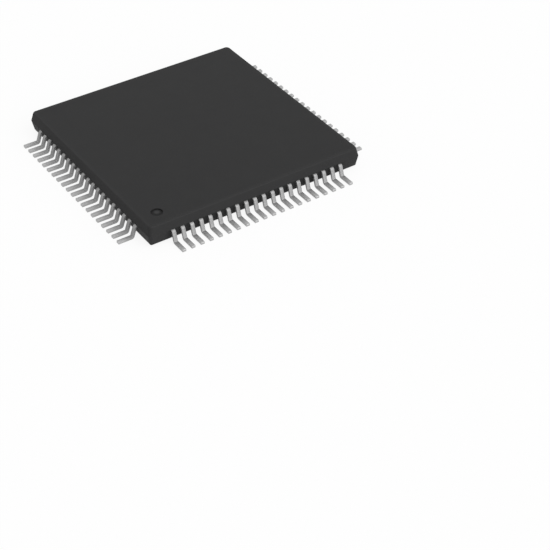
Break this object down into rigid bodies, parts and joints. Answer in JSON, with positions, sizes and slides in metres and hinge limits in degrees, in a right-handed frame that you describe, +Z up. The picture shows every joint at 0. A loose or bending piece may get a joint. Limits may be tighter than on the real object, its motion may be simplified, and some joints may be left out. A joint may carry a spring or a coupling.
{
  "type": "integrated circuit",
  "caption": "Square thin quad flat package with gull-wing leads on all four sides, a pin 1 dot on top and an exposed thermal pad below.",
  "frame": {"origin": "the middle of the package's outline, on the board's surface where the lead feet rest", "axes": "+Z up, out of the plain top face; +X and +Y along the body's sides, with the pin 1 dot at the -X +Y corner and pins 1 to 20 down the -X side"},
  "size_m": [0.014, 0.014, 0.0011],
  "materials": {
    "mould_compound": "matte dark grey moulded epoxy",
    "tinned_copper": "matte tin plate on copper",
    "die_attach_adhesive": "silver-filled adhesive",
    "silicon": "polished",
    "gold_wire": "bright drawn wire"
  },
  "bodies": {
    "root": {"moulded_body": "mould_compound", "die_paddle": "tinned_copper", "die_attach": "die_attach_adhesive", "silicon_die": "silicon", "leads_01_05": "tinned_copper", "leads_06_10": "tinned_copper", "leads_11_15": "tinned_copper", "leads_16_20": "tinned_copper", "leads_21_25": "tinned_copper", "leads_26_30": "tinned_copper", "leads_31_35": "tinned_copper", "leads_36_40": "tinned_copper", "leads_41_45": "tinned_copper", "leads_46_50": "tinned_copper", "leads_51_55": "tinned_copper", "leads_56_60": "tinned_copper", "leads_61_65": "tinned_copper", "leads_66_70": "tinned_copper", "leads_71_75": "tinned_copper", "leads_76_80": "tinned_copper", "bond_wires_01_05": "gold_wire", "bond_wires_06_10": "gold_wire", "bond_wires_11_15": "gold_wire", "bond_wires_16_20": "gold_wire", "bond_wires_21_25": "gold_wire", "bond_wires_26_30": "gold_wire", "bond_wires_31_35": "gold_wire", "bond_wires_36_40": "gold_wire", "bond_wires_41_45": "gold_wire", "bond_wires_46_50": "gold_wire", "bond_wires_51_55": "gold_wire", "bond_wires_56_60": "gold_wire", "bond_wires_61_65": "gold_wire", "bond_wires_66_70": "gold_wire", "bond_wires_71_75": "gold_wire", "bond_wires_76_80": "gold_wire"}
  },
  "joints": []
}
